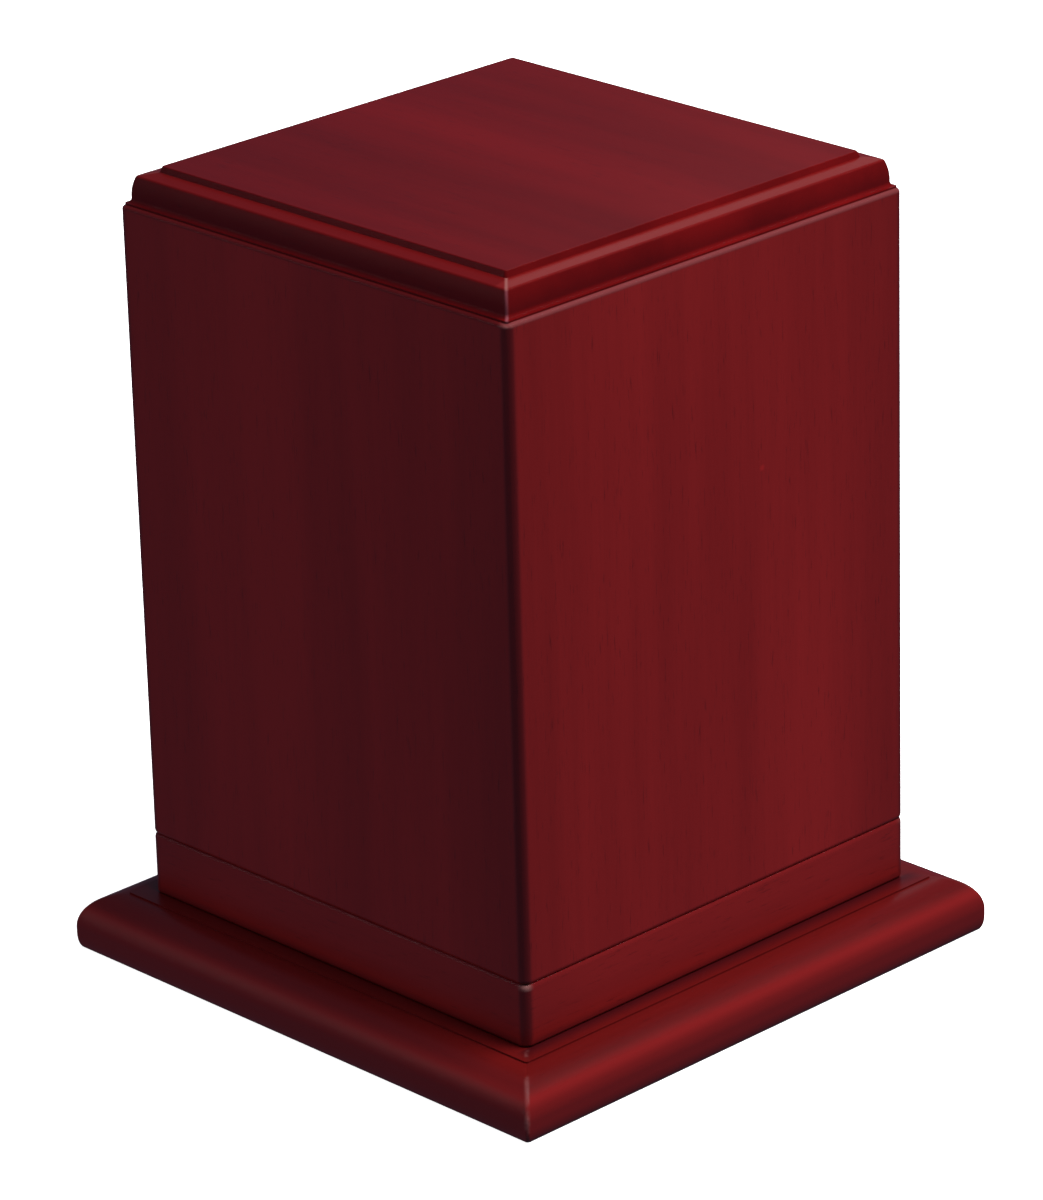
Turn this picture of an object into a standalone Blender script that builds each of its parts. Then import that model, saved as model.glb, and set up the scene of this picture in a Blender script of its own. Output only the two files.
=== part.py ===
"""Square cremation urn box in dark red lacquered wood, standing upright and loaded from below.

Four mitred wall boards stand on four mitred plinth rails, and those on four mitred base mouldings.
A moulded top board closes the case, and a panel let into the underside is held by four screws.
Metres, +Z up, origin on the floor at the middle of the base.
"""

import math

import bmesh
import bpy
from mathutils import Matrix

# Case: four boards round the hollow
CASE_WIDTH = 0.156
CASE_HEIGHT = 0.1932
WALL_THICKNESS = 0.013
CORNER_RADIUS = 0.0025
CASE_TOP_ARRIS = 0.0012

# Groove where case and plinth meet: the depth and the height of each eased arris
GROOVE_DEPTH = 0.0007
GROOVE_EASING = 0.0014

# Plinth course, flush with the case inside and outside
PLINTH_HEIGHT = 0.019
PLINTH_FOOT_ARRIS = 0.0009

# Base moulding: a flat beside the plinth, a small step, a broad round over and an edge that turns under
BASE_OVERHANG = 0.017
BASE_THICKNESS = 0.0175
BASE_FLAT = 0.0055
BASE_STEP = 0.0005
BASE_ROUND_HEIGHT = 0.0105
BASE_UNDERCUT_DEPTH = 0.0014
BASE_UNDERCUT_HEIGHT = 0.0045
BASE_CORNER_RADIUS = 0.001

# Top board: a ledge, a small cove, an upright that rounds back, a tight nose, a gentle shoulder and a step
TOP_MOULDING_HEIGHT = 0.0113
TOP_TONGUE_DEPTH = 0.007
TOP_LEDGE = 0.0024
TOP_FOOT_HEIGHT = 0.0005
TOP_COVE_RADIUS = 0.0013
TOP_UPRIGHT_RADIUS = 0.016
TOP_UPRIGHT_TURN = math.radians(20)
TOP_NOSE_RADIUS = 0.001
TOP_SHOULDER_WIDTH = 0.0042
TOP_SHOULDER_RISE = 0.0008
TOP_STEP_RISE = 0.0018
TOP_STEP_WIDTH = 0.0009
TOP_STEP_ARRIS = 0.0004
TOP_CORNER_RADIUS = 0.0008

# Access panel, its rebate in the base, and its screws, which stop short of the base's top
PANEL_THICKNESS = 0.008
PANEL_RECESS = 0.001
PANEL_ARRIS = 0.0005
PANEL_CORNER_RADIUS = 0.002
REBATE_WIDTH = 0.013
WOOD_OVER_SCREW = 0.0031
SCREW_RADIUS = 0.0016
SCREW_HEAD_RADIUS = 0.0036
SCREW_HEAD_RIM = 0.0003
SCREW_POINT_LENGTH = 0.0025
SCREW_SINK = 0.0002
DRIVE_SLOT_WIDTH = 0.0009
DRIVE_SLOT_LENGTH = 0.0038
DRIVE_SLOT_DEPTH = 0.0014

# Fits: the glue line between pieces, and the loose fit of what drops in
GLUE_GAP = 0.0003
DROP_IN_CLEARANCE = 0.0005
SCREW_CLEARANCE = 0.0003

# Facets in each rounded stretch, and the angle from which an edge counts as sharp
CORNER_FACETS = 6
ARRIS_FACETS = 4
ROUND_FACETS = 10
SCREW_FACETS = 20
SHARP_EDGE = math.radians(30)
MERGE_DISTANCE = 0.00001

# Heights and half widths that follow from the sizes above
CASE_HALF = CASE_WIDTH / 2
INSIDE_HALF = CASE_HALF - WALL_THICKNESS
BASE_HALF = CASE_HALF + BASE_OVERHANG
REBATE_HALF = INSIDE_HALF + REBATE_WIDTH
REBATE_DEPTH = PANEL_RECESS + PANEL_THICKNESS + GLUE_GAP
PLINTH_FOOT = BASE_THICKNESS + GLUE_GAP
PLINTH_TOP = BASE_THICKNESS + PLINTH_HEIGHT
CASE_FOOT = PLINTH_TOP + GLUE_GAP
CASE_TOP = PLINTH_TOP + CASE_HEIGHT
TOP_SEAT = CASE_TOP + GLUE_GAP
TOP_SURFACE = CASE_TOP + TOP_MOULDING_HEIGHT
PANEL_TOP = PANEL_RECESS + PANEL_THICKNESS
SCREW_OFFSET = INSIDE_HALF + REBATE_WIDTH / 2
SCREW_HEAD_FACE = PANEL_RECESS + SCREW_SINK
SCREW_TIP = BASE_THICKNESS - WOOD_OVER_SCREW
CUTTER_REACH = 2 * BASE_HALF + TOP_SURFACE

SIDES = ("front", "right", "back", "left")

WOOD_CASE = ("lacquered_wood_case", (0.115, 0.010, 0.011), 0.30, 0.0)
WOOD_TOP = ("lacquered_wood_top", (0.130, 0.013, 0.016), 0.30, 0.0)
WOOD_BASE = ("lacquered_wood_base", (0.110, 0.009, 0.010), 0.32, 0.0)
WOOD_PANEL = ("stained_wood_panel", (0.085, 0.014, 0.012), 0.55, 0.0)
SCREW_STEEL = ("zinc_plated_screw", (0.62, 0.58, 0.50), 0.32, 1.0)


def clear_scene():
    for obj in list(bpy.data.objects):
        bpy.data.objects.remove(obj, do_unlink=True)


def new_collection(name):
    collection = bpy.data.collections.new(name)
    bpy.context.scene.collection.children.link(collection)
    return collection


def make_material(name, colour, roughness, metallic):
    material = bpy.data.materials.new(name)
    material.use_nodes = True
    shader = material.node_tree.nodes["Principled BSDF"]
    shader.inputs["Base Color"].default_value = (*colour, 1.0)
    shader.inputs["Roughness"].default_value = roughness
    shader.inputs["Metallic"].default_value = metallic
    return material


def mesh_from(bm, name):
    bmesh.ops.recalc_face_normals(bm, faces=bm.faces[:])
    mesh = bpy.data.meshes.new(name)
    bm.to_mesh(mesh)
    bm.free()
    return mesh


def add_object(name, mesh, collection, turn=0.0):
    obj = bpy.data.objects.new(name, mesh)
    obj.rotation_euler.z = turn
    collection.objects.link(obj)
    return obj


def add_cutter(name, mesh, location=(0.0, 0.0, 0.0), turn=0.0):
    cutter = add_object(name, mesh, cutters, turn)
    cutter.location = location
    cutter.hide_render = True
    cutter.display_type = "WIRE"
    return cutter


def add_boolean(obj, cutter, operation="DIFFERENCE"):
    modifier = obj.modifiers.new(cutter.name, "BOOLEAN")
    modifier.operation = operation
    modifier.object = cutter


def arc(centre, radii, start, end, facets):
    """Points of (half width, height) along an elliptical arc, its angles in degrees."""
    points = []
    for step in range(facets + 1):
        angle = math.radians(start + (end - start) * step / facets)
        points.append((centre[0] + radii[0] * math.cos(angle), centre[1] + radii[1] * math.sin(angle)))
    return points


def square_stack(name, profile, corner_radius):
    """A closed body, square in plan with rounded corners, drawn up through (half width, height) pairs."""
    bm = bmesh.new()
    half, height = profile[0]
    bmesh.ops.create_grid(bm, x_segments=1, y_segments=1, size=half)
    bmesh.ops.bevel(
        bm, geom=bm.verts[:], offset=corner_radius, segments=CORNER_FACETS, profile=0.5, affect="VERTICES"
    )
    bmesh.ops.translate(bm, verts=bm.verts[:], vec=(0.0, 0.0, height))
    bm.faces.ensure_lookup_table()
    cap = bm.faces[0]
    foot = cap
    for next_half, next_height in profile[1:]:
        grown = bmesh.ops.extrude_face_region(bm, geom=[cap])["geom"]
        if cap is not foot:
            bmesh.ops.delete(bm, geom=[cap], context="FACES_ONLY")
        cap = next(item for item in grown if isinstance(item, bmesh.types.BMFace))
        for vertex in cap.verts:
            vertex.co.x *= next_half / half
            vertex.co.y *= next_half / half
            vertex.co.z = next_height
        half = next_half
    return mesh_from(bm, name)


def box_mesh(name, width, depth, low, high):
    bm = bmesh.new()
    bmesh.ops.create_cube(bm, size=1.0)
    middle = Matrix.Translation((0.0, 0.0, (low + high) / 2))
    scale = Matrix.Diagonal((width, depth, high - low, 1.0))
    bmesh.ops.transform(bm, matrix=middle @ scale, verts=bm.verts[:])
    return mesh_from(bm, name)


def turned_mesh(name, profile):
    """A closed turned body: its profile of (radius, height) pairs runs from top to bottom on the axis."""
    mesh = bpy.data.meshes.new(name)
    points = [(radius, 0.0, height) for radius, height in profile]
    mesh.from_pydata(points, [(i, i + 1) for i in range(len(points) - 1)], [])
    guide = bpy.data.objects.new(name + "_profile", mesh)
    cutters.objects.link(guide)
    screw = guide.modifiers.new("turn", "SCREW")
    screw.steps = SCREW_FACETS
    screw.render_steps = SCREW_FACETS
    screw.use_merge_vertices = True
    screw.merge_threshold = MERGE_DISTANCE
    turned = applied_mesh(guide, name + "_turned")
    bpy.data.objects.remove(guide, do_unlink=True)
    return turned


def applied_mesh(obj, name):
    """The object's mesh with its modifiers applied."""
    bpy.context.view_layer.update()
    graph = bpy.context.evaluated_depsgraph_get()
    mesh = bpy.data.meshes.new_from_object(obj.evaluated_get(graph))
    mesh.name = name
    return mesh


def mitred_lengths(name, mesh, material, cuts):
    """One side of a square frame, cut out of its block and mitred, then set round all four sides."""
    block = add_object(name + "_block", mesh, cutters)
    for cutter in cuts:
        add_boolean(block, cutter)
    add_boolean(block, mitre_cutter, "INTERSECT")
    length = applied_mesh(block, name + "_length")
    bpy.data.objects.remove(block, do_unlink=True)
    length.materials.clear()
    length.materials.append(material)
    length.shade_smooth()
    length.set_sharp_from_angle(angle=SHARP_EDGE)
    for quarter, side in enumerate(SIDES):
        add_object(f"{name}_{side}", length, urn, quarter * math.pi / 2)


def course_section(foot, top, foot_easing, top_easing):
    """Outer face of a course from its foot up; each easing is the arris's (depth, height)."""
    foot_centre = (CASE_HALF - foot_easing[0], foot + foot_easing[1])
    top_centre = (CASE_HALF - top_easing[0], top - top_easing[1])
    section = arc(foot_centre, foot_easing, -90, 0, ARRIS_FACETS)
    section += arc(top_centre, top_easing, 0, 90, ARRIS_FACETS)
    return section


def base_section():
    """Base moulding from its underside up: undercut edge, round over, step and flat."""
    flat_edge = CASE_HALF + BASE_FLAT
    round_centre = (flat_edge, BASE_THICKNESS - BASE_STEP - BASE_ROUND_HEIGHT)
    round_radii = (BASE_HALF - flat_edge, BASE_ROUND_HEIGHT)
    undercut_centre = (BASE_HALF - BASE_UNDERCUT_DEPTH, BASE_UNDERCUT_HEIGHT)
    undercut_radii = (BASE_UNDERCUT_DEPTH, BASE_UNDERCUT_HEIGHT)
    section = arc(undercut_centre, undercut_radii, -90, 0, ARRIS_FACETS)
    section += arc(round_centre, round_radii, 0, 90, ROUND_FACETS)
    section.append((flat_edge, BASE_THICKNESS))
    return section


def top_section():
    """Top board from its tongue up: ledge, cove, upright, nose, shoulder, step and plateau."""
    tongue = INSIDE_HALF - DROP_IN_CLEARANCE
    upright_foot = CASE_HALF - TOP_LEDGE
    cove_centre = (upright_foot + TOP_COVE_RADIUS, TOP_SEAT + TOP_FOOT_HEIGHT + TOP_COVE_RADIUS)
    nose_turn = math.atan2(TOP_SHOULDER_WIDTH, TOP_SHOULDER_RISE)
    shoulder_top = TOP_SURFACE - TOP_STEP_RISE
    # The nose and the upright's round touch where both have turned by TOP_UPRIGHT_TURN
    round_in = (TOP_UPRIGHT_RADIUS - TOP_NOSE_RADIUS) * math.cos(TOP_UPRIGHT_TURN)
    round_up = (TOP_UPRIGHT_RADIUS - TOP_NOSE_RADIUS) * math.sin(TOP_UPRIGHT_TURN)
    nose_rise = TOP_NOSE_RADIUS * math.sin(nose_turn)
    nose_centre = (
        upright_foot - TOP_UPRIGHT_RADIUS + round_in, shoulder_top - TOP_SHOULDER_RISE - nose_rise
    )
    round_centre = (upright_foot - TOP_UPRIGHT_RADIUS, nose_centre[1] - round_up)
    step_foot = nose_centre[0] + TOP_NOSE_RADIUS * math.cos(nose_turn) - TOP_SHOULDER_WIDTH
    step_turn = math.atan2(TOP_STEP_WIDTH, TOP_STEP_RISE)
    arris_centre = (step_foot - TOP_STEP_WIDTH, TOP_SURFACE - TOP_STEP_ARRIS)
    arris_radii = (TOP_STEP_ARRIS, TOP_STEP_ARRIS)
    nose_radii = (TOP_NOSE_RADIUS, TOP_NOSE_RADIUS)
    round_radii = (TOP_UPRIGHT_RADIUS, TOP_UPRIGHT_RADIUS)
    upright_turn = math.degrees(TOP_UPRIGHT_TURN)
    section = [(tongue, TOP_SEAT - TOP_TONGUE_DEPTH), (tongue, TOP_SEAT), (cove_centre[0], TOP_SEAT)]
    section += arc(cove_centre, (TOP_COVE_RADIUS, TOP_COVE_RADIUS), 270, 180, ARRIS_FACETS)
    section += arc(round_centre, round_radii, 0, upright_turn, ARRIS_FACETS)
    section += arc(nose_centre, nose_radii, upright_turn, math.degrees(nose_turn), ARRIS_FACETS)[1:]
    section.append((step_foot, shoulder_top))
    section += arc(arris_centre, arris_radii, math.degrees(step_turn), 90, ARRIS_FACETS)
    return section


def panel_section():
    """Access panel from its underside up, with both arrises eased."""
    half = REBATE_HALF - DROP_IN_CLEARANCE
    easing = (PANEL_ARRIS, PANEL_ARRIS)
    section = arc((half - PANEL_ARRIS, PANEL_RECESS + PANEL_ARRIS), easing, -90, 0, ARRIS_FACETS)
    section += arc((half - PANEL_ARRIS, PANEL_TOP - PANEL_ARRIS), easing, 0, 90, ARRIS_FACETS)
    return section


def screw_profile(growth, mouth):
    """Countersunk screw from its point down to its head's face; growth gives the hole that clears it."""
    radius = SCREW_RADIUS + growth
    head_radius = SCREW_HEAD_RADIUS + growth
    rim = SCREW_HEAD_FACE + SCREW_HEAD_RIM
    return [
        (0.0, SCREW_TIP + growth),
        (radius, SCREW_TIP + growth - SCREW_POINT_LENGTH),
        (radius, rim + head_radius - radius),
        (head_radius, rim),
        (head_radius, mouth),
        (0.0, mouth),
    ]


def add_case():
    eased_groove = (GROOVE_DEPTH, GROOVE_EASING)
    eased_top = (CASE_TOP_ARRIS, CASE_TOP_ARRIS)
    material = make_material(*WOOD_CASE)
    walls = course_section(CASE_FOOT, CASE_TOP, eased_groove, eased_top)
    eased_foot = (PLINTH_FOOT_ARRIS, PLINTH_FOOT_ARRIS)
    plinth = course_section(PLINTH_FOOT, PLINTH_TOP, eased_foot, eased_groove)
    mitred_lengths("wall", square_stack("wall", walls, CORNER_RADIUS), material, [inside_cutter])
    mitred_lengths("plinth", square_stack("plinth", plinth, CORNER_RADIUS), material, [inside_cutter])


def add_base():
    rebate = add_cutter(
        "rebate_cutter", box_mesh("rebate", 2 * REBATE_HALF, 2 * REBATE_HALF, -REBATE_DEPTH, REBATE_DEPTH)
    )
    pilot_cutter = add_cutter("pilot_cutter", screw_hole, (0.0, -SCREW_OFFSET, 0.0))
    block = square_stack("base_moulding", base_section(), BASE_CORNER_RADIUS)
    cuts = [inside_cutter, rebate, pilot_cutter]
    mitred_lengths("base_moulding", block, make_material(*WOOD_BASE), cuts)


def add_top_board():
    mesh = square_stack("top_board", top_section(), TOP_CORNER_RADIUS)
    mesh.materials.append(make_material(*WOOD_TOP))
    mesh.shade_smooth()
    mesh.set_sharp_from_angle(angle=SHARP_EDGE)
    add_object("top_board", mesh, urn)


def add_access_panel():
    mesh = square_stack("access_panel", panel_section(), PANEL_CORNER_RADIUS)
    mesh.materials.append(make_material(*WOOD_PANEL))
    panel = add_object("access_panel", mesh, urn)
    screw_mesh = turned_mesh("screw", screw_profile(0.0, SCREW_HEAD_FACE))
    depths = (-DRIVE_SLOT_DEPTH, DRIVE_SLOT_DEPTH)
    slots = [
        box_mesh("drive_slot", DRIVE_SLOT_LENGTH, DRIVE_SLOT_WIDTH, *depths),
        box_mesh("drive_slot_across", DRIVE_SLOT_WIDTH, DRIVE_SLOT_LENGTH, *depths),
    ]
    first = add_object("screw_blank", screw_mesh, cutters)
    for slot in slots:
        add_boolean(first, add_cutter(slot.name + "_cutter", slot, (0.0, 0.0, SCREW_HEAD_FACE)))
    slotted = applied_mesh(first, "access_screw")
    bpy.data.objects.remove(first, do_unlink=True)
    slotted.materials.clear()
    slotted.materials.append(make_material(*SCREW_STEEL))
    slotted.shade_smooth()
    slotted.set_sharp_from_angle(angle=SHARP_EDGE)
    for quarter, side in enumerate(SIDES):
        turn = quarter * math.pi / 2
        place = (SCREW_OFFSET * math.sin(turn), -SCREW_OFFSET * math.cos(turn), 0.0)
        screw = add_object(f"access_screw_{side}", slotted, urn, turn)
        screw.location = place
        add_boolean(panel, add_cutter(f"screw_hole_cutter_{side}", screw_hole, place, turn))


clear_scene()
urn = new_collection("cremation_urn_box")
cutters = new_collection("cutters")
inside_cutter = add_cutter(
    "inside_cutter", box_mesh("inside", 2 * INSIDE_HALF, 2 * INSIDE_HALF, -CUTTER_REACH, CUTTER_REACH)
)
mitre_cutter = add_cutter(
    "mitre_cutter",
    box_mesh("mitre", CUTTER_REACH, CUTTER_REACH, -CUTTER_REACH, CUTTER_REACH),
    (0.0, -(CUTTER_REACH + GLUE_GAP) * math.sqrt(0.5), 0.0),
    math.pi / 4,
)
screw_hole = turned_mesh("screw_hole", screw_profile(SCREW_CLEARANCE, PANEL_RECESS - SCREW_CLEARANCE))
add_base()
add_case()
add_top_board()
add_access_panel()
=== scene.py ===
"""Finish of a square cremation urn box in dark red lacquered wood, built up in order of assembly."""
import math

import bpy
from mathutils import Matrix, Vector


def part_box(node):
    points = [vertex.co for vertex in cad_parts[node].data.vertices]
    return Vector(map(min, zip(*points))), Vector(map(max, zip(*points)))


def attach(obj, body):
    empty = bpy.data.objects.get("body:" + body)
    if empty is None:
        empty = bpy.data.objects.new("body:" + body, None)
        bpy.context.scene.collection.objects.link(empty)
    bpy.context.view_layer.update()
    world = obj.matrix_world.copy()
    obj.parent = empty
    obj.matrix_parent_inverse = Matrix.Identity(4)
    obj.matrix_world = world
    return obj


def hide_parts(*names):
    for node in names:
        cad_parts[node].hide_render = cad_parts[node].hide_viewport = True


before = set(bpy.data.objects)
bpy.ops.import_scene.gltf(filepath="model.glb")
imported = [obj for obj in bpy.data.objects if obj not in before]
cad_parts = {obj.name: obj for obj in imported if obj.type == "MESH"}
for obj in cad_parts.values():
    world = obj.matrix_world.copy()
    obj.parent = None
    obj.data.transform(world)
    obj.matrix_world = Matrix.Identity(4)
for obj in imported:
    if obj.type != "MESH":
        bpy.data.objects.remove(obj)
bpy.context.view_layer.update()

# Camera
# A long lens looks at the front right-hand corner from above, as the photograph was taken.
# Its place, turn and focal length come from fitting the box's known corners to the picture.
camera_data = bpy.data.cameras.new("camera")
camera_data.sensor_width = 36.0
camera_data.lens = 179.45
camera = bpy.data.objects.new("camera", camera_data)
camera.location = (1.1514, -1.1120, 0.7530)
camera.rotation_euler = [math.radians(turn) for turn in (68.0285, 1.4503, 45.4119)]
bpy.context.scene.collection.objects.link(camera)
bpy.context.scene.camera = camera

# Base mouldings
# Four lengths of solid hardwood moulding, mitred and glued into a frame that spreads the foot of the box.
# Each has a flat beside the plinth, a small step, a broad round over and an edge turned under below.
# A rebate is worked inside for the access panel, and the whole is stained dark red and lacquered.
base_low, base_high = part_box("base_moulding_front")
base_half = -base_low.y
inside_half = -base_high.y
base_top = base_high.z
case_half = -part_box("wall_front")[0].y
base_flat_width = 0.0055
base_flat_edge = case_half + base_flat_width
base_step = 0.0005
base_round_height = 0.0105
base_undercut_depth = 0.0014
base_undercut_height = 0.0045
base_corner_radius = 0.0010
mitre_joint = 0.00002
rebate_side_gap = 0.0005
rebate_top_gap = 0.0003
screw_hole_radius = 0.0019
screw_tip_gap = 0.0003
lacquer_roughness = 0.312
painted_shade_colour = (0.020, 0.0020, 0.0032)
round_segments = 28
arris_segments = 8
sharp_edge = math.radians(40)
sides = ("front", "right", "back", "left")


def section_arc(centre, radii, start, end, segments):
    """Points of (half width, height) round part of an ellipse, its angles in degrees."""
    points = []
    for step in range(segments + 1):
        angle = math.radians(start + (end - start) * step / segments)
        points.append((centre[0] + radii[0] * math.cos(angle), centre[1] + radii[1] * math.sin(angle)))
    return points


def start_editing(obj):
    """Opens one piece's mesh with the whole of it selected."""
    bpy.ops.object.select_all(action="DESELECT")
    obj.select_set(True)
    bpy.context.view_layer.objects.active = obj
    bpy.ops.object.mode_set(mode="EDIT")
    bpy.ops.mesh.select_all(action="SELECT")


def raise_block(name, section, corner_radius):
    """A square block with rounded corners, extruded and scaled up through its section's points."""
    half, height = section[0]
    bpy.ops.object.select_all(action="DESELECT")
    bpy.ops.mesh.primitive_plane_add(size=2 * half, location=(0, 0, height))
    block = bpy.context.object
    block.name = name
    block.data.name = name
    start_editing(block)
    bpy.ops.mesh.bevel(offset=corner_radius, segments=arris_segments, affect="VERTICES")
    bpy.ops.mesh.select_all(action="SELECT")
    for next_half, next_height in section[1:]:
        rise = {"value": (0, 0, next_height - height)}
        bpy.ops.mesh.extrude_region_move(TRANSFORM_OT_translate=rise)
        growth = next_half / half
        bpy.ops.transform.resize(value=(growth, growth, 1), center_override=(0, 0, next_height))
        half, height = next_half, next_height
    bpy.ops.mesh.select_all(action="SELECT")
    bpy.ops.mesh.normals_make_consistent(inside=False)
    bpy.ops.object.mode_set(mode="OBJECT")
    bpy.ops.object.transform_apply(location=True, rotation=True, scale=True)
    return block


def saw(obj, cuts):
    """Cuts a piece by planes of (point, direction): what lies beyond goes, and each cut is closed."""
    start_editing(obj)
    for point, direction in cuts:
        bpy.ops.mesh.select_all(action="SELECT")
        bpy.ops.mesh.bisect(plane_co=point, plane_no=direction, use_fill=True, clear_outer=True)
    bpy.ops.object.mode_set(mode="OBJECT")


def cut_out(obj, cutter):
    """Takes the cutter's shape out of a piece, and the cutter away."""
    modifier = obj.modifiers.new("cut", "BOOLEAN")
    modifier.operation = "DIFFERENCE"
    modifier.object = cutter
    bpy.context.view_layer.objects.active = obj
    bpy.ops.object.modifier_apply(modifier=modifier.name)
    bpy.data.objects.remove(cutter, do_unlink=True)


def polish(obj, material):
    """Smooth shading that keeps flats flat between their rounded edges, and the piece's finish."""
    bpy.ops.object.select_all(action="DESELECT")
    obj.select_set(True)
    bpy.context.view_layer.objects.active = obj
    bpy.ops.object.shade_smooth_by_angle(angle=sharp_edge)
    modifier = obj.modifiers.new("flat faces", "WEIGHTED_NORMAL")
    modifier.keep_sharp = True
    bpy.ops.object.modifier_apply(modifier=modifier.name)
    obj.data.materials.clear()
    obj.data.materials.append(material)


def set_round(front, node):
    """Copies a front length to the other sides, each with its own mesh, and fixes all to the body."""
    lengths = [front]
    for side in sides[1:]:
        length = front.copy()
        length.data = front.data.copy()
        length.name = front.name.replace("front", side)
        length.data.name = length.name
        bpy.context.scene.collection.objects.link(length)
        length.rotation_euler.z = sides.index(side) * math.pi / 2
        bpy.ops.object.select_all(action="DESELECT")
        length.select_set(True)
        bpy.context.view_layer.objects.active = length
        bpy.ops.object.transform_apply(location=True, rotation=True, scale=True)
        lengths.append(length)
    for side, length in zip(sides, lengths):
        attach(length, "root")
        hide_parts(f"{node}_{side}")


def new_group(name, inputs, outputs):
    """A shader node group with the named sockets, its nodes still to come."""
    group = bpy.data.node_groups.new(name, "ShaderNodeTree")
    for socket, kind, value in inputs:
        made = group.interface.new_socket(socket, in_out="INPUT", socket_type=kind)
        made.default_value = value
    for socket, kind in outputs:
        group.interface.new_socket(socket, in_out="OUTPUT", socket_type=kind)
    return group, group.nodes.new("NodeGroupInput"), group.nodes.new("NodeGroupOutput")


def value_of(tree, operation, *inputs):
    """A Math node: each input is a number or a socket."""
    node = tree.nodes.new("ShaderNodeMath")
    node.operation = operation
    for socket, value in zip(node.inputs, inputs):
        if isinstance(value, bpy.types.NodeSocket):
            tree.links.new(value, socket)
        else:
            socket.default_value = value
    return node.outputs[0]


def ramp_between(tree, value, low, high):
    """0 below low and 1 above high, turning smoothly between them."""
    node = tree.nodes.new("ShaderNodeMapRange")
    node.interpolation_type = "SMOOTHSTEP"
    tree.links.new(value, node.inputs["Value"])
    node.inputs["From Min"].default_value = low
    node.inputs["From Max"].default_value = high
    return node.outputs["Result"]


def rest_of(tree, share):
    """What a share leaves of 1."""
    return value_of(tree, "SUBTRACT", 1.0, share)


def swing_about(tree, middle, noise, contrast):
    """A value that noise swings to either side of its middle."""
    return value_of(tree, "MULTIPLY_ADD", value_of(tree, "SUBTRACT", noise, 0.5), contrast, middle)


def stretched_noise(tree, vector, along, across, detail, roughness=0.5):
    """Noise in metres that runs out along X: so many features to the metre along it and across it."""
    mapping = tree.nodes.new("ShaderNodeMapping")
    mapping.inputs["Scale"].default_value = (along, across, across)
    tree.links.new(vector, mapping.inputs["Vector"])
    noise = tree.nodes.new("ShaderNodeTexNoise")
    noise.inputs["Scale"].default_value = 1.0
    noise.inputs["Detail"].default_value = detail
    noise.inputs["Roughness"].default_value = roughness
    tree.links.new(mapping.outputs["Vector"], noise.inputs["Vector"])
    return noise.outputs["Fac"]


def blend_colours(tree, factor, first, second):
    """Mixes two colours, each a colour value or a socket."""
    node = tree.nodes.new("ShaderNodeMix")
    node.data_type = "RGBA"
    tree.links.new(factor, node.inputs["Factor"])
    for socket, colour in ((node.inputs[6], first), (node.inputs[7], second)):
        if isinstance(colour, bpy.types.NodeSocket):
            tree.links.new(colour, socket)
        else:
            socket.default_value = (*colour, 1.0)
    return node.outputs[2]


def make_mitred_grain():
    """Turns a place on a mitred frame so that X runs along its length, changing over at each mitre."""
    group, given, made = new_group(
        "mitred_grain", [("Place", "NodeSocketVector", (0, 0, 0))], [("Grain Place", "NodeSocketVector")]
    )
    split = group.nodes.new("ShaderNodeSeparateXYZ")
    group.links.new(given.outputs["Place"], split.inputs[0])
    east_or_west = value_of(
        group, "GREATER_THAN", value_of(group, "ABSOLUTE", split.outputs["X"]),
        value_of(group, "ABSOLUTE", split.outputs["Y"]),
    )
    turned = group.nodes.new("ShaderNodeCombineXYZ")
    group.links.new(split.outputs["Y"], turned.inputs["X"])
    group.links.new(split.outputs["X"], turned.inputs["Y"])
    group.links.new(split.outputs["Z"], turned.inputs["Z"])
    choice = group.nodes.new("ShaderNodeMix")
    choice.data_type = "VECTOR"
    group.links.new(east_or_west, choice.inputs["Factor"])
    group.links.new(given.outputs["Place"], choice.inputs[4])
    group.links.new(turned.outputs[0], choice.inputs[5])
    group.links.new(choice.outputs[1], made.inputs["Grain Place"])
    return group


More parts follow.
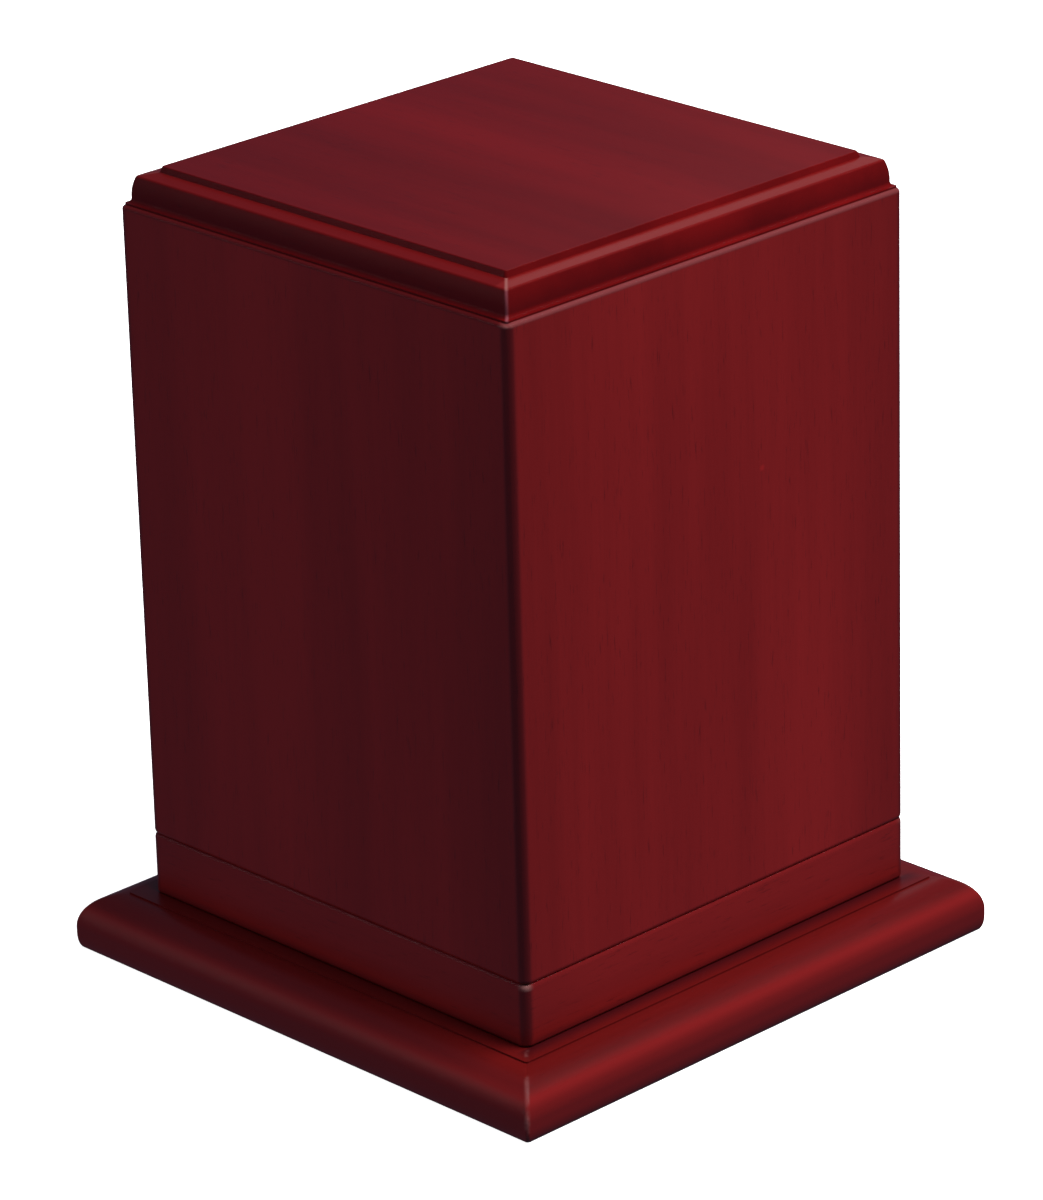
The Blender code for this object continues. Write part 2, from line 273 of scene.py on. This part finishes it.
def make_lacquered_wood():
    """Stained hardwood under lacquer: streaks, fibre and pores along X, and the lacquer's ripple."""
    group, given, made = new_group(
        "lacquered_wood",
        [
            ("Grain Place", "NodeSocketVector", (0, 0, 0)),
            ("Deep Stain", "NodeSocketColor", (0.1, 0.01, 0.01, 1)),
            ("Clear Stain", "NodeSocketColor", (0.2, 0.02, 0.02, 1)),
            ("Streaks", "NodeSocketFloat", 1.0),
            ("Polish", "NodeSocketFloat", 0.3),
        ],
        [("Colour", "NodeSocketColor"), ("Roughness", "NodeSocketFloat"), ("Relief", "NodeSocketFloat")],
    )
    streak_contrast = 2.6
    figure_contrast = 0.9
    fibre_contrast = 0.55
    smear_contrast = 0.12
    pore_strength = 0.35
    pore_colour = (0.012, 0.001, 0.002)
    place = given.outputs["Grain Place"]
    streak = stretched_noise(group, place, 3.0, 36.0, 2.0)
    figure = stretched_noise(group, place, 9.0, 170.0, 3.0)
    fibre = stretched_noise(group, place, 30.0, 1100.0, 3.0, 0.6)
    pore = ramp_between(group, stretched_noise(group, place, 150.0, 2300.0, 2.0), 0.62, 0.74)
    ripple = stretched_noise(group, place, 130.0, 130.0, 2.0)
    smear = stretched_noise(group, place, 22.0, 22.0, 3.0)
    grain = swing_about(group, 0.5, figure, figure_contrast)
    grain = swing_about(group, grain, fibre, fibre_contrast)
    streak_swing = value_of(group, "SUBTRACT", streak, 0.5)
    streak_swing = value_of(group, "MULTIPLY", streak_swing, given.outputs["Streaks"])
    grain = value_of(group, "MULTIPLY_ADD", streak_swing, streak_contrast, grain)
    clamp = group.nodes.new("ShaderNodeClamp")
    group.links.new(grain, clamp.inputs["Value"])
    stain = blend_colours(
        group, clamp.outputs[0], given.outputs["Deep Stain"], given.outputs["Clear Stain"]
    )
    filled_pore = value_of(group, "MULTIPLY", pore, pore_strength)
    group.links.new(blend_colours(group, filled_pore, stain, pore_colour), made.inputs["Colour"])
    rough = swing_about(group, given.outputs["Polish"], smear, smear_contrast)
    group.links.new(rough, made.inputs["Roughness"])
    # Fibre and ripple stand up in the lacquer, and the pores sink.
    relief = value_of(group, "MULTIPLY_ADD", fibre, 0.25, ripple)
    relief = value_of(group, "MULTIPLY_ADD", pore, -0.5, relief)
    group.links.new(relief, made.inputs["Relief"])
    return group


def build_corner_mask_group():
    """Masks of how near a place is to a square piece's corner, and of the lacquer rubbed thin there.

    The rubbed mask is partly real wear and partly painted highlight; the front corner gets most, in
    patches, and all along it as the Line input rises.
    """
    group, given, made = new_group(
        "corner_wear",
        [
            ("Place", "NodeSocketVector", (0, 0, 0)),
            ("Reach", "NodeSocketFloat", 0.02),
            ("Inner Half", "NodeSocketFloat", 0.0),
            ("Line", "NodeSocketFloat", 0.0),
        ],
        [
            ("Rubbed", "NodeSocketFloat"),
            ("Toward Corner", "NodeSocketFloat"),
            ("Squareness", "NodeSocketFloat"),
            ("Out", "NodeSocketFloat"),
        ],
    )
    split = group.nodes.new("ShaderNodeSeparateXYZ")
    group.links.new(given.outputs["Place"], split.inputs[0])
    wide = value_of(group, "ABSOLUTE", split.outputs["X"])
    deep = value_of(group, "ABSOLUTE", split.outputs["Y"])
    out = value_of(group, "MAXIMUM", wide, deep)
    group.links.new(out, made.inputs["Out"])
    squareness = value_of(group, "DIVIDE", value_of(group, "MINIMUM", wide, deep), out)
    group.links.new(squareness, made.inputs["Squareness"])
    group.links.new(ramp_between(group, squareness, 0.55, 0.95), made.inputs["Toward Corner"])
    from_corner = value_of(group, "DIVIDE", rest_of(group, squareness), given.outputs["Reach"])
    at_corner = ramp_between(group, rest_of(group, from_corner), 0.0, 1.0)
    mottle = stretched_noise(group, given.outputs["Place"], 160.0, 160.0, 3.0, 0.6)
    patch = ramp_between(group, mottle, 0.42, 0.66)
    patch = value_of(group, "MAXIMUM", patch, given.outputs["Line"])
    front = value_of(
        group, "MULTIPLY", value_of(group, "GREATER_THAN", split.outputs["X"], 0.0),
        value_of(group, "LESS_THAN", split.outputs["Y"], 0.0),
    )
    share = value_of(group, "MULTIPLY_ADD", front, 0.75, 0.25)
    rubbed_and_highlight = value_of(group, "MULTIPLY", value_of(group, "MULTIPLY", at_corner, patch), share)
    outside = value_of(group, "GREATER_THAN", out, given.outputs["Inner Half"])
    group.links.new(value_of(group, "MULTIPLY", rubbed_and_highlight, outside), made.inputs["Rubbed"])
    return group


mitred_grain = make_mitred_grain()
lacquered_wood = make_lacquered_wood()
corner_wear = build_corner_mask_group()


def add_group(tree, group, **values):
    """A group's node in a material, with its own values or links on the sockets named."""
    node = tree.nodes.new("ShaderNodeGroup")
    node.node_tree = group
    for name, value in values.items():
        socket = node.inputs[name.replace("_", " ").title()]
        if isinstance(value, bpy.types.NodeSocket):
            tree.links.new(value, socket)
        else:
            socket.default_value = value
    return node


def start_material(name, specular):
    """A material with its shader's sheen set, its tree, and its object coordinates."""
    material = bpy.data.materials.new(name)
    material.use_nodes = True
    tree = material.node_tree
    shader = tree.nodes["Principled BSDF"]
    shader.inputs["Specular IOR Level"].default_value = specular
    coordinates = tree.nodes.new("ShaderNodeTexCoord")
    return material, tree, shader, coordinates.outputs["Object"]


def finish_wood(tree, shader, wood, colour, strength):
    """Links a wood group's colour, roughness and relief to the shader."""
    bump = tree.nodes.new("ShaderNodeBump")
    bump.inputs["Strength"].default_value = strength
    bump.inputs["Distance"].default_value = 0.0001
    tree.links.new(wood.outputs["Relief"], bump.inputs["Height"])
    tree.links.new(bump.outputs["Normal"], shader.inputs["Normal"])
    tree.links.new(wood.outputs["Roughness"], shader.inputs["Roughness"])
    tree.links.new(colour, shader.inputs["Base Color"])


def make_base_finish():
    """The mouldings' lacquer: painted paler round the edge as a painted highlight, partly rubbed stain,
    with painted shade beside the plinth.
    """
    crest_foot = 0.0094
    crest_height = 0.0120
    flat_height = 0.0148
    crest_highlight_share = 0.42
    edge_highlight_share = 0.58
    pale_highlight_colour = (0.128, 0.0062, 0.0060)
    shade_reach = 0.0056
    material, tree, shader, place = start_material("lacquered_base_moulding", 0.5)
    along = add_group(tree, mitred_grain, place=place).outputs["Grain Place"]
    wood = add_group(
        tree, lacquered_wood, grain_place=along, deep_stain=(0.056, 0.0026, 0.0025, 1),
        clear_stain=(0.078, 0.0036, 0.0034, 1), streaks=0.7, polish=lacquer_roughness,
    )
    corner_mask_node = add_group(tree, corner_wear, place=place, reach=0.018)
    split = tree.nodes.new("ShaderNodeSeparateXYZ")
    tree.links.new(place, split.inputs[0])
    height = split.outputs["Z"]
    # The stain is painted paler round the outer edge, most of all along the crest of the round over: a
    # painted highlight where the light catches it, partly rubbed-through stain.
    crest = value_of(tree, "MULTIPLY", ramp_between(tree, height, crest_foot, crest_height), crest_highlight_share)
    below_flat = rest_of(tree, ramp_between(tree, height, crest_height, flat_height))
    paler_where_lit = value_of(tree, "MULTIPLY", value_of(tree, "ADD", crest, edge_highlight_share), below_flat)
    colour = blend_colours(tree, paler_where_lit, wood.outputs["Colour"], pale_highlight_colour)
    # Painted shade in the corner against the plinth, darkest on the right.
    clear_of_plinth = ramp_between(tree, corner_mask_node.outputs["Out"], case_half, case_half + shade_reach)
    on_right = ramp_between(tree, split.outputs["X"], case_half - 0.0010, case_half)
    share = value_of(tree, "MULTIPLY_ADD", on_right, 0.50, 0.25)
    shade_in_corner = value_of(tree, "MULTIPLY", rest_of(tree, clear_of_plinth), share)
    colour = blend_colours(tree, shade_in_corner, colour, painted_shade_colour)
    # Where a corner is rubbed through, the wood is paler low down; the marks are partly real wear and
    # partly painted highlight.
    upper = ramp_between(tree, height, 0.0085, 0.0105)
    worn_wood_and_highlight = blend_colours(tree, upper, (0.32, 0.13, 0.13), (0.13, 0.045, 0.045))
    rubbed_and_highlight = value_of(tree, "MULTIPLY", corner_mask_node.outputs["Rubbed"], 0.55)
    finish_wood(tree, shader, wood, blend_colours(tree, rubbed_and_highlight, colour, worn_wood_and_highlight), 0.25)
    return material


base_section = section_arc(
    (base_half - base_undercut_depth, base_undercut_height), (base_undercut_depth, base_undercut_height),
    -90, 0, arris_segments,
)
base_section += section_arc(
    (base_flat_edge, base_top - base_step - base_round_height),
    (base_half - base_flat_edge, base_round_height), 0, 90, round_segments,
)
base_section.append((base_flat_edge, base_top))
mitre_cuts = [
    (Vector((side * mitre_joint, -mitre_joint, 0)), Vector((side, 1, 0))) for side in (1, -1)
]
board_cuts = mitre_cuts + [(Vector((0, -inside_half, 0)), Vector((0, 1, 0)))]
base_moulding = raise_block("front_base_moulding", base_section, base_corner_radius)
saw(base_moulding, board_cuts)
panel_low, panel_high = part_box("access_panel")
rebate_half = panel_high.x + rebate_side_gap
rebate_depth = panel_high.z + rebate_top_gap
bpy.ops.mesh.primitive_cube_add(size=1, scale=(2 * rebate_half, 2 * rebate_half, 2 * rebate_depth))
cut_out(base_moulding, bpy.context.object)
screw_low, screw_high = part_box("access_screw_front")
screw_place = (screw_low.y + screw_high.y) / 2
bpy.ops.mesh.primitive_cylinder_add(
    vertices=24, radius=screw_hole_radius, depth=2 * screw_high.z,
    location=(0, screw_place, screw_tip_gap),
)
cut_out(base_moulding, bpy.context.object)
polish(base_moulding, make_base_finish())
set_round(base_moulding, "base_moulding")

# Plinth
# Four rails of the same wood stand on the base, flush with the case above them inside and out.
# Their top arris is eased, and with the eased foot of the walls it makes the fine groove round the box.
plinth_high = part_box("plinth_front")[1]
wall_low, wall_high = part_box("wall_front")
glue_line = 0.00005
seat_gap = 0.0003
groove_height = (plinth_high.z + wall_low.z) / 2
top_seat = wall_high.z + seat_gap
case_corner_radius = 0.0025
groove_depth = 0.0007
groove_easing = 0.0014
plinth_foot_arris = 0.0009


def course_section(foot, top, foot_easing, top_easing):
    """A course's outer face from its foot up; each easing is the (depth, height) of an arris."""
    section = section_arc(
        (case_half - foot_easing[0], foot + foot_easing[1]), foot_easing, -90, 0, arris_segments
    )
    section += section_arc(
        (case_half - top_easing[0], top - top_easing[1]), top_easing, 0, 90, arris_segments
    )
    return section


def make_case_finish(name, streaks, upright):
    """The case's lacquer, its stain painted darker toward the corners as painted shade, its grain upright
    or along the rails.
    """
    upright_shade = 0.55
    groove_shade = 0.30
    foot_shade = 0.58
    knot_place = (0.078, 0.0192, 0.1624)
    material, tree, shader, place = start_material(name, 0.5)
    if upright:
        turn = tree.nodes.new("ShaderNodeMapping")
        turn.inputs["Rotation"].default_value = (0, math.radians(90), 0)
        tree.links.new(place, turn.inputs["Vector"])
        along = turn.outputs["Vector"]
    else:
        along = add_group(tree, mitred_grain, place=place).outputs["Grain Place"]
    corner_mask_node = add_group(tree, corner_wear, place=place, reach=0.050)
    toward_corner = corner_mask_node.outputs["Toward Corner"]
    # The stain is painted darker toward the upright corners, as painted shade.
    deep_stain = blend_colours(tree, toward_corner, (0.137, 0.0061, 0.0058), (0.118, 0.0053, 0.0050))
    clear_stain = blend_colours(tree, toward_corner, (0.177, 0.0084, 0.0079), (0.152, 0.0072, 0.0068))
    wood = add_group(
        tree, lacquered_wood, grain_place=along, deep_stain=deep_stain, clear_stain=clear_stain,
        streaks=streaks, polish=lacquer_roughness,
    )
    split = tree.nodes.new("ShaderNodeSeparateXYZ")
    tree.links.new(place, split.inputs[0])
    height = split.outputs["Z"]
    # Painted shade on the rounded upright corners, in the groove and in the corner at the plinth's foot.
    on_upright = ramp_between(tree, corner_mask_node.outputs["Squareness"], 0.955, 0.978)
    on_upright = value_of(tree, "MULTIPLY", on_upright, upright_shade)
    near_groove = ramp_between(tree, height, groove_height - 0.0016, groove_height - 0.0004)
    below_groove = value_of(tree, "LESS_THAN", height, groove_height)
    in_groove = value_of(tree, "MULTIPLY", near_groove, below_groove)
    in_groove = value_of(tree, "MULTIPLY", in_groove, groove_shade)
    clear_of_base = ramp_between(tree, height, base_top + 0.0002, base_top + 0.0034)
    at_foot = value_of(tree, "MULTIPLY", rest_of(tree, clear_of_base), foot_shade)
    painted_shade_mix = value_of(tree, "MAXIMUM", on_upright, value_of(tree, "MAXIMUM", in_groove, at_foot))
    colour = blend_colours(tree, painted_shade_mix, wood.outputs["Colour"], painted_shade_colour)
    # The top arris is painted darker, and paler pink on the lit right side as a painted highlight.
    top_arris = ramp_between(tree, height, top_seat - 0.0016, top_seat - 0.0008)
    on_right = ramp_between(tree, split.outputs["X"], 0.0740, 0.0765)
    arris_highlight_colour = blend_colours(tree, on_right, (0.066, 0.0030, 0.0030), (0.110, 0.021, 0.022))
    colour = blend_colours(tree, top_arris, colour, arris_highlight_colour)
    # The corners are rubbed to the wood at the plinth's lip, below the groove, and at the top arris; the
    # pale marks are partly real wear and partly painted highlight.
    above_lip = ramp_between(tree, height, 0.0345, 0.0353)
    below_wall = rest_of(tree, ramp_between(tree, height, 0.0363, 0.0367))
    at_lip = value_of(tree, "MULTIPLY", above_lip, below_wall)
    at_lip = value_of(tree, "MAXIMUM", at_lip, top_arris)
    rubbed_and_highlight = value_of(tree, "MULTIPLY", corner_mask_node.outputs["Rubbed"], at_lip)
    colour = blend_colours(tree, rubbed_and_highlight, colour, (0.21, 0.084, 0.078))
    # One small red knot shows on the right wall.
    distance = tree.nodes.new("ShaderNodeVectorMath")
    distance.operation = "DISTANCE"
    distance.inputs[1].default_value = knot_place
    tree.links.new(place, distance.inputs[0])
    knot = rest_of(tree, ramp_between(tree, distance.outputs["Value"], 0.0003, 0.0013))
    colour = blend_colours(tree, value_of(tree, "MULTIPLY", knot, 0.6), colour, (0.26, 0.010, 0.009))
    finish_wood(tree, shader, wood, colour, 0.22)
    return material


plinth_section = course_section(
    base_top + glue_line, groove_height - glue_line / 2, (plinth_foot_arris, plinth_foot_arris),
    (groove_depth, groove_easing),
)
plinth_rail = raise_block("front_plinth_rail", plinth_section, case_corner_radius)
saw(plinth_rail, board_cuts)
polish(plinth_rail, make_case_finish("lacquered_plinth", 0.7, False))
set_round(plinth_rail, "plinth")

# Case walls
# Four boards with upright grain, mitred at the corners and glued round the hollow of the box.
# The corners are rounded over, the foot is eased for the groove and the top arris only just broken.
wall_top_arris = 0.0012
wall_section = course_section(
    groove_height + glue_line / 2, top_seat - glue_line, (groove_depth, groove_easing),
    (wall_top_arris, wall_top_arris),
)
wall_board = raise_block("front_wall_board", wall_section, case_corner_radius)
saw(wall_board, board_cuts)
polish(wall_board, make_case_finish("lacquered_case", 1.0, True))
set_round(wall_board, "wall")

# Top board
# One solid board with its edge moulded all round and a tongue below that drops inside the walls.
# Above a bare ledge of the walls come a cove, an upright, a nose, a sloping shoulder and a step.
top_low, top_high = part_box("top_board")
tongue_gap = 0.0005
tongue_half = inside_half - tongue_gap
top_ledge = 0.0024
top_upright = case_half - top_ledge
top_foot_height = 0.0005
top_cove_radius = 0.0013
top_upright_radius = 0.016
top_upright_turn = math.radians(20)
top_nose_radius = 0.0010
top_shoulder_width = 0.0042
top_shoulder_rise = 0.0008
top_step_rise = 0.0018
top_step_width = 0.0009
top_step_arris = 0.0004
top_corner_radius = 0.0008


def make_top_finish():
    """The board's lacquer: grain along X, painted paler toward the back and the right as painted light
    from that side.
    """
    material, tree, shader, place = start_material("lacquered_top_board", 0.27)
    # Painted light: the stain is paler toward the back and the right, the side the light comes from.
    split = tree.nodes.new("ShaderNodeSeparateXYZ")
    tree.links.new(place, split.inputs[0])
    toward_back = ramp_between(tree, split.outputs["Y"], -0.034, 0.016)
    paler_where_lit = value_of(tree, "MULTIPLY", toward_back, 0.55)
    toward_right = ramp_between(tree, split.outputs["X"], -0.080, 0.080)
    paler_where_lit = value_of(tree, "MULTIPLY_ADD", toward_right, 0.45, paler_where_lit)
    wood = add_group(
        tree, lacquered_wood, grain_place=place,
        deep_stain=blend_colours(tree, paler_where_lit, (0.049, 0.0012, 0.0013), (0.070, 0.0017, 0.0018)),
        clear_stain=blend_colours(tree, paler_where_lit, (0.066, 0.0016, 0.0017), (0.095, 0.0023, 0.0024)),
        streaks=1.0, polish=lacquer_roughness,
    )
    # The shoulder is painted paler, most of all on the lit right side: a painted highlight, partly rubbed
    # stain.
    height = split.outputs["Z"]
    below_step = rest_of(tree, ramp_between(tree, height, shoulder_top - 0.0002, shoulder_top + 0.0003))
    above_nose = ramp_between(tree, height, shoulder_top - 0.0014, shoulder_top - 0.0006)
    on_shoulder = value_of(tree, "MULTIPLY", above_nose, below_step)
    on_right = ramp_between(tree, split.outputs["X"], step_foot, step_foot + 0.0010)
    share = value_of(tree, "MULTIPLY_ADD", on_right, 0.75, 0.25)
    on_shoulder = value_of(tree, "MULTIPLY", on_shoulder, share)
    colour = blend_colours(tree, on_shoulder, wood.outputs["Colour"], (0.104, 0.0055, 0.0052))
    # The corners are rubbed to the wood, which is redder under the nose; the pale line down the front
    # corner is partly real wear and partly painted highlight.
    rubbed_and_highlight = add_group(
        tree, corner_wear, place=place, reach=0.014, inner_half=step_foot, line=0.6
    ).outputs["Rubbed"]
    upper = ramp_between(tree, height, shoulder_top - 0.0016, shoulder_top - 0.0008)
    worn_wood_and_highlight = blend_colours(tree, upper, (0.20, 0.055, 0.070), (0.20, 0.085, 0.078))
    finish_wood(tree, shader, wood, blend_colours(tree, rubbed_and_highlight, colour, worn_wood_and_highlight), 0.22)
    return material


shoulder_top = top_high.z - top_step_rise
cove_centre = (top_upright + top_cove_radius, top_seat + top_foot_height + top_cove_radius)
nose_turn = math.atan2(top_shoulder_width, top_shoulder_rise)
touch = top_upright_radius - top_nose_radius
nose_centre = (
    top_upright - top_upright_radius + touch * math.cos(top_upright_turn),
    shoulder_top - top_shoulder_rise - top_nose_radius * math.sin(nose_turn),
)
round_centre = (top_upright - top_upright_radius, nose_centre[1] - touch * math.sin(top_upright_turn))
step_foot = nose_centre[0] + top_nose_radius * math.cos(nose_turn) - top_shoulder_width
step_turn = math.atan2(top_step_width, top_step_rise)
step_arris_centre = (step_foot - top_step_width, top_high.z - top_step_arris)
top_section = [(tongue_half, top_low.z), (tongue_half, top_seat), (cove_centre[0], top_seat)]
top_section += section_arc(cove_centre, (top_cove_radius, top_cove_radius), 270, 180, arris_segments)
top_section += section_arc(
    round_centre, (top_upright_radius, top_upright_radius), 0, math.degrees(top_upright_turn),
    round_segments,
)
top_section += section_arc(
    nose_centre, (top_nose_radius, top_nose_radius), math.degrees(top_upright_turn),
    math.degrees(nose_turn), arris_segments,
)[1:]
top_section.append((step_foot, shoulder_top))
top_section += section_arc(
    step_arris_centre, (top_step_arris, top_step_arris), math.degrees(step_turn), 90, arris_segments
)
top_board = raise_block("moulded_top_board", top_section, top_corner_radius)
polish(top_board, make_top_finish())
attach(top_board, "root")
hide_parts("top_board")

# Access panel
# A plain board let into the rebate under the box, through which it is filled, held by four screws.
# Its arrises are eased and its underside has the stain without the built-up lacquer.
panel_arris = 0.0005
panel_corner_radius = 0.0020
hole_cutter_depth = 0.04
countersink_radius = 0.0059
countersink_depth = 0.0040
countersink_middle = 0.0015


def make_panel_finish():
    """Thin red stain, nearly matt, with the grain along X."""
    material, tree, shader, place = start_material("stained_panel", 0.2)
    wood = add_group(
        tree, lacquered_wood, grain_place=place, deep_stain=(0.060, 0.008, 0.007, 1),
        clear_stain=(0.115, 0.018, 0.014, 1), streaks=1.0, polish=0.55,
    )
    finish_wood(tree, shader, wood, wood.outputs["Colour"], 0.5)
    return material


panel_section = section_arc(
    (panel_high.x - panel_arris, panel_low.z + panel_arris), (panel_arris, panel_arris),
    -90, 0, arris_segments,
)
panel_section += section_arc(
    (panel_high.x - panel_arris, panel_high.z - panel_arris), (panel_arris, panel_arris),
    0, 90, arris_segments,
)
access_panel = raise_block("base_access_panel", panel_section, panel_corner_radius)
for quarter in range(4):
    turn = Matrix.Rotation(quarter * math.pi / 2, 4, "Z")
    hole = turn @ Vector((0, screw_place, 0))
    bpy.ops.mesh.primitive_cylinder_add(
        vertices=32, radius=screw_hole_radius, depth=hole_cutter_depth, location=hole
    )
    cut_out(access_panel, bpy.context.object)
    bpy.ops.mesh.primitive_cone_add(
        vertices=32, radius1=countersink_radius, radius2=screw_hole_radius, depth=countersink_depth,
        location=hole + Vector((0, 0, countersink_middle)),
    )
    cut_out(access_panel, bpy.context.object)
polish(access_panel, make_panel_finish())
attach(access_panel, "root")
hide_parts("access_panel")

# Access screws
# Four countersunk steel screws, zinc plated with a pale yellow cast and slightly tarnished.
# They are driven up through the panel into the base mouldings, and come out to open the box.


def make_screw_finish():
    """Pale yellow zinc plate, bright and dull by turns."""
    dull_zinc = (0.36, 0.33, 0.27)
    bright_zinc = (0.72, 0.68, 0.58)
    material, tree, shader, place = start_material("zinc_plated_screw", 0.5)
    shader.inputs["Metallic"].default_value = 1.0
    tarnish = stretched_noise(tree, place, 900.0, 900.0, 3.0)
    tree.links.new(blend_colours(tree, tarnish, dull_zinc, bright_zinc), shader.inputs["Base Color"])
    roughness = value_of(tree, "MULTIPLY_ADD", tarnish, 0.3, 0.18)
    tree.links.new(roughness, shader.inputs["Roughness"])
    return material


screw_finish = make_screw_finish()
for side in sides:
    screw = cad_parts[f"access_screw_{side}"]
    screw.data.materials.clear()
    screw.data.materials.append(screw_finish)

# Studio
# A plain white table with a glow of its own, so that it takes almost no shadow.
# A large soft light hangs high to the right, a dimmer one stands low on the left, and a faint one
# hangs behind and gives the moulded edges their sheen.
table_radius = 6.0


def make_table_finish():
    """Matt white that glows to a plain white ground."""
    material, _, shader, _ = start_material("white_table", 0.0)
    shader.inputs["Base Color"].default_value = (0.82, 0.82, 0.82, 1)
    shader.inputs["Roughness"].default_value = 1.0
    shader.inputs["Emission Color"].default_value = (1, 1, 1, 1)
    shader.inputs["Emission Strength"].default_value = 0.92
    return material


bpy.ops.object.select_all(action="DESELECT")
bpy.ops.mesh.primitive_circle_add(vertices=96, radius=table_radius, fill_type="NGON")
table = bpy.context.object
table.name = "table"
table.data.materials.append(make_table_finish())
table.visible_diffuse = False
table.visible_glossy = False


def add_soft_light(name, direction, distance, size, power, shines):
    """A soft light aimed at the box. A polarised one doesn't shine in the lacquer."""
    light_data = bpy.data.lights.new(name, "AREA")
    light_data.shape = "RECTANGLE"
    light_data.size, light_data.size_y = size
    light_data.energy = power
    light = bpy.data.objects.new(name, light_data)
    aim = Vector((0, 0, 0.12))
    out = Vector(direction).normalized()
    light.location = aim + out * distance
    light.rotation_euler = out.to_track_quat("Z", "Y").to_euler()
    light.visible_glossy = shines
    bpy.context.scene.collection.objects.link(light)


add_soft_light(
    "key_softbox", direction=(0.40, 0.27, 0.875), distance=4.4,
    size=(3.2, 3.2), power=530.0, shines=False,
)
add_soft_light(
    "left_softbox", direction=(-0.66, -0.73, 0.17), distance=4.0,
    size=(1.8, 1.8), power=66.0, shines=False,
)
add_soft_light(
    "rear_softbox", direction=(-0.44, 0.644, 0.626), distance=1.5,
    size=(0.34, 0.34), power=0.29, shines=True,
)


def light_room():
    """White to the camera, and a dim bluish grey for light and reflections."""
    world = bpy.data.worlds.new("room")
    bpy.context.scene.world = world
    world.use_nodes = True
    tree = world.node_tree
    background = tree.nodes["Background"]
    path = tree.nodes.new("ShaderNodeLightPath")
    tree.links.new(
        blend_colours(tree, path.outputs["Is Camera Ray"], (0.055, 0.060, 0.095), (1.0, 1.0, 1.0)),
        background.inputs["Color"],
    )


light_room()
bpy.context.scene.view_settings.view_transform = "Standard"
